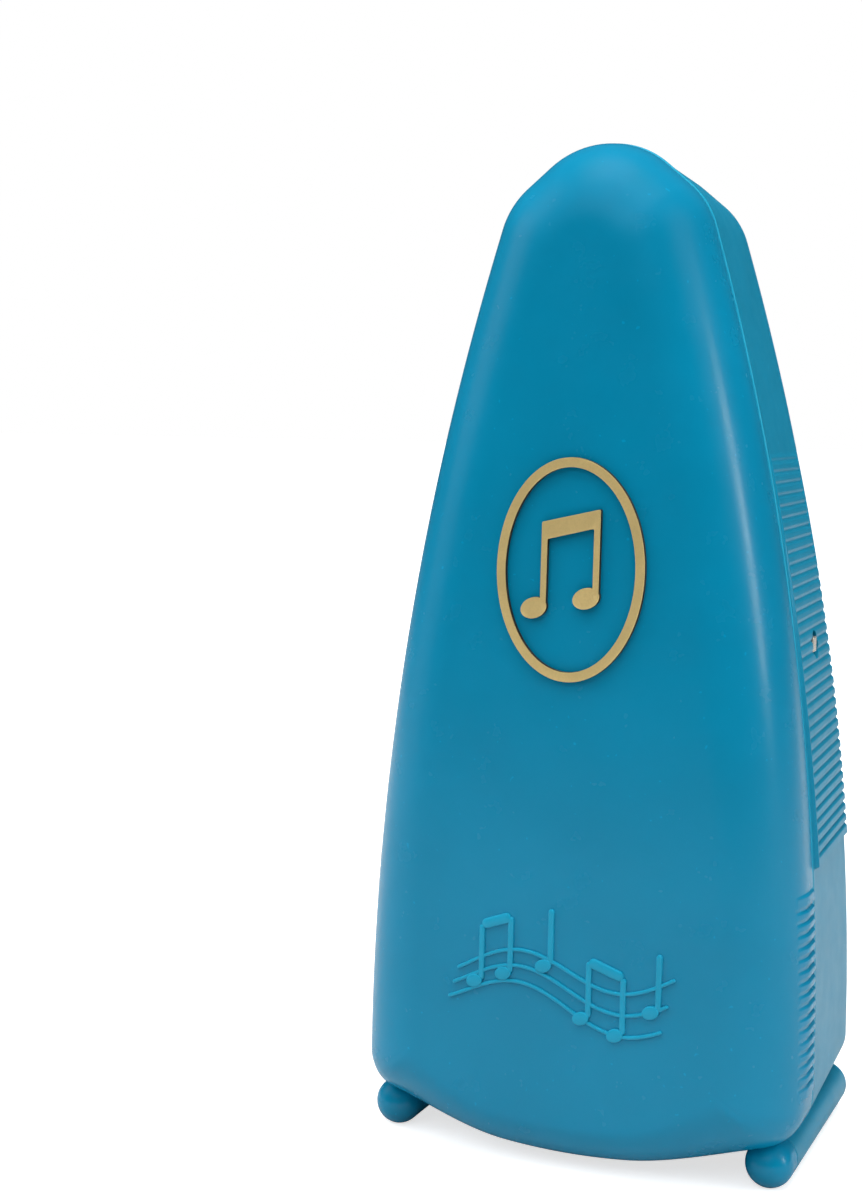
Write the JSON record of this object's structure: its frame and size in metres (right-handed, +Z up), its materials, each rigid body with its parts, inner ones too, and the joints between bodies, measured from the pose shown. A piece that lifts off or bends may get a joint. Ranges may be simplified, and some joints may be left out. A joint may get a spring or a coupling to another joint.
{
  "type": "metronome",
  "caption": "Clockwork pocket metronome in a tapered plastic case with a pull-off front cover, inverted pendulum, sliding tempo weight and loose winding key.",
  "frame": {"origin": "floor level, on the mid-plane of the width, at mid-depth", "axes": "+Z up, front cover and scale towards -Y, winding hole towards +X"},
  "size_m": [0.0736, 0.0518, 0.1602],
  "materials": {
    "cover_plastic": "smooth semi-gloss",
    "case_plastic": "smooth semi-gloss",
    "panel_plastic": "fine satin",
    "scale_aluminium": "satin with black print",
    "weight_aluminium": "satin",
    "badge_gold": "polished gold",
    "rod_steel": "satin, warm",
    "spring_steel": "satin",
    "bob_steel": "satin face with a polished edge",
    "key_nickel": "nickel, knurled round the knob",
    "screw_nickel": "bright nickel",
    "movement_brass": "satin brass"
  },
  "bodies": {
    "case": {"rear_case": "case_plastic", "front_panel": "panel_plastic", "scale_plate": "scale_aluminium", "pendulum_bridge": "panel_plastic", "left_plate": "movement_brass", "right_plate": "movement_brass", "top_pillar": "movement_brass", "front_pillar": "movement_brass", "rear_pillar": "movement_brass", "rear_bearing": "movement_brass", "escape_cock": "movement_brass", "click_screw": "screw_nickel", "click_spring": "spring_steel", "scale_screw_left": "screw_nickel", "scale_screw_right": "screw_nickel", "bridge_screw_left": "screw_nickel", "bridge_screw_right": "screw_nickel", "movement_screw_left": "screw_nickel", "movement_screw_right": "screw_nickel"},
    "cover": {"front_cover": "cover_plastic", "badge_ring": "badge_gold", "badge_note": "badge_gold"},
    "pendulum": {"pendulum_rod": "rod_steel", "counterweight": "bob_steel", "pendulum_arbor": "screw_nickel", "rod_hub": "movement_brass", "front_pallet": "screw_nickel", "rear_pallet": "screw_nickel"},
    "tempo_weight": {"sliding_weight": "weight_aluminium", "weight_spring": "spring_steel", "weight_rivet_left": "screw_nickel", "weight_rivet_right": "screw_nickel"},
    "barrel": {"spring_barrel": "movement_brass", "barrel_cover": "movement_brass", "great_wheel": "movement_brass", "mainspring": "spring_steel"},
    "second_works": {"second_arbor": "screw_nickel", "second_wheel": "movement_brass"},
    "third_works": {"third_arbor": "screw_nickel", "third_wheel": "movement_brass"},
    "escape_works": {"escape_arbor": "screw_nickel", "escape_wheel": "movement_brass"},
    "winding_works": {"winding_arbor": "screw_nickel", "ratchet_wheel": "movement_brass"},
    "click": {"click": "screw_nickel"},
    "key": {"key_knob": "key_nickel", "key_shaft": "key_nickel"}
  },
  "joints": [
    {"name": "cover_slide", "type": "slide", "parent": "case", "child": "cover", "axis": [0, -1, 0], "range_m": [0, 0.12]},
    {"name": "pendulum_swing", "type": "hinge", "parent": "case", "child": "pendulum", "pos_m": [0, -0.01495, 0.045], "axis": [0, 1, 0], "range_deg": [-5.5, 5.5]},
    {"name": "weight_slide", "type": "slide", "parent": "pendulum", "child": "tempo_weight", "axis": [0, 0, 1], "range_m": [0, 0.0675]},
    {"name": "escape_spin", "type": "hinge", "parent": "case", "child": "escape_works", "pos_m": [0, 0.00923, 0.045], "axis": [1, 0, 0], "continuous": true},
    {"name": "third_spin", "type": "hinge", "parent": "case", "child": "third_works", "pos_m": [0, 0.00565, 0.05593], "axis": [1, 0, 0], "continuous": true},
    {"name": "second_spin", "type": "hinge", "parent": "case", "child": "second_works", "pos_m": [0, 0.00915, 0.06793], "axis": [1, 0, 0], "continuous": true},
    {"name": "barrel_spin", "type": "hinge", "parent": "case", "child": "barrel", "pos_m": [0, 0.00565, 0.082], "axis": [1, 0, 0], "continuous": true},
    {"name": "winding_turn", "type": "hinge", "parent": "case", "child": "winding_works", "pos_m": [0, 0.00565, 0.082], "axis": [-1, 0, 0], "range_deg": [0, 1440]},
    {"name": "click_lift", "type": "hinge", "parent": "case", "child": "click", "pos_m": [0, 0.00309, 0.09156], "axis": [1, 0, 0], "range_deg": [0, 14]},
    {"name": "key_pull", "type": "slide", "parent": "case", "child": "key", "axis": [0, 1, 0], "range_m": [0, 0.03]}
  ],
  "couplings": [
    {"joint": "third_spin", "follows": "escape_spin", "ratio": -0.27778},
    {"joint": "second_spin", "follows": "escape_spin", "ratio": 0.087719},
    {"joint": "barrel_spin", "follows": "escape_spin", "ratio": -0.027911}
  ]
}
